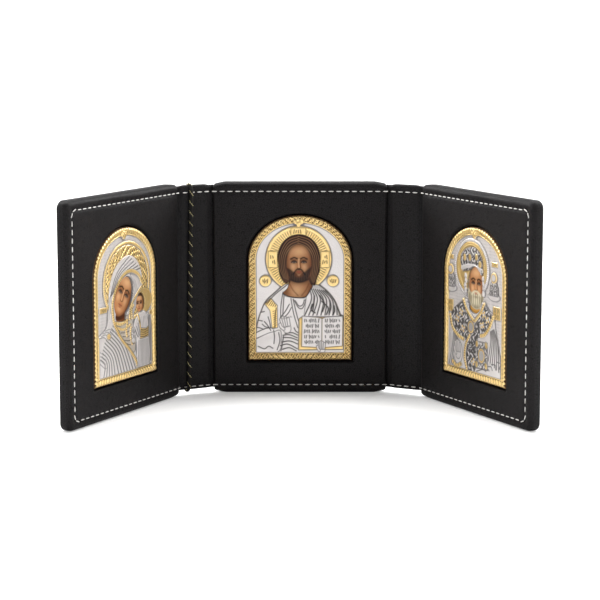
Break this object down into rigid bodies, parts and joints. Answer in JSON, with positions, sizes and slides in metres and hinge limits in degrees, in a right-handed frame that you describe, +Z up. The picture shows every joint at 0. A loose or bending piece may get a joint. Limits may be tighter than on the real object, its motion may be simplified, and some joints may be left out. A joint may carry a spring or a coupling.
{
  "type": "folding triptych",
  "caption": "Pocket folding triptych: three leather-covered boards joined by two soft spines, each with an arched window, a pressed metal icon cover and a painted panel, and a cord loop.",
  "frame": {"origin": "centre of the middle board's underside, half way through its thickness", "axes": "+X to the viewer's right along the middle board, +Y away from the viewer, +Z up"},
  "size_m": [0.1652, 0.0707, 0.0806],
  "materials": {
    "black_leather": "fine-grained black leather with white running stitch",
    "spine_leather": "soft black leather, flexible",
    "pressed_silver_gilt": "pressed silver sheet, gilt on frame, halos and borders, darkened in the recesses",
    "painted_panel": "thin panel painted in browns, satin varnish",
    "braided_elastic": "round braided black elastic with flecks of gold thread"
  },
  "bodies": {
    "center": {"center_panel": "black_leather", "center_icon_cover": "pressed_silver_gilt", "center_icon_picture": "painted_panel", "left_spine": "spine_leather", "right_spine": "spine_leather", "elastic_cord": "braided_elastic"},
    "left_wing": {"left_wing_panel": "black_leather", "left_icon_cover": "pressed_silver_gilt", "left_icon_picture": "painted_panel"},
    "right_wing": {"right_wing_panel": "black_leather", "right_icon_cover": "pressed_silver_gilt", "right_icon_picture": "painted_panel"}
  },
  "joints": [
    {"name": "left_wing_fold", "type": "hinge", "parent": "center", "child": "left_wing", "pos_m": [-0.04116, -0.0027, 0], "axis": [0, 0, 1], "range_deg": [-60.6, 119.4], "deforming": ["left_spine", "elastic_cord"]},
    {"name": "right_wing_fold", "type": "hinge", "parent": "center", "child": "right_wing", "pos_m": [0.03958, -0.0054, 0], "axis": [0, 0, -1], "range_deg": [-60.6, 119.4], "deforming": ["right_spine"]}
  ]
}
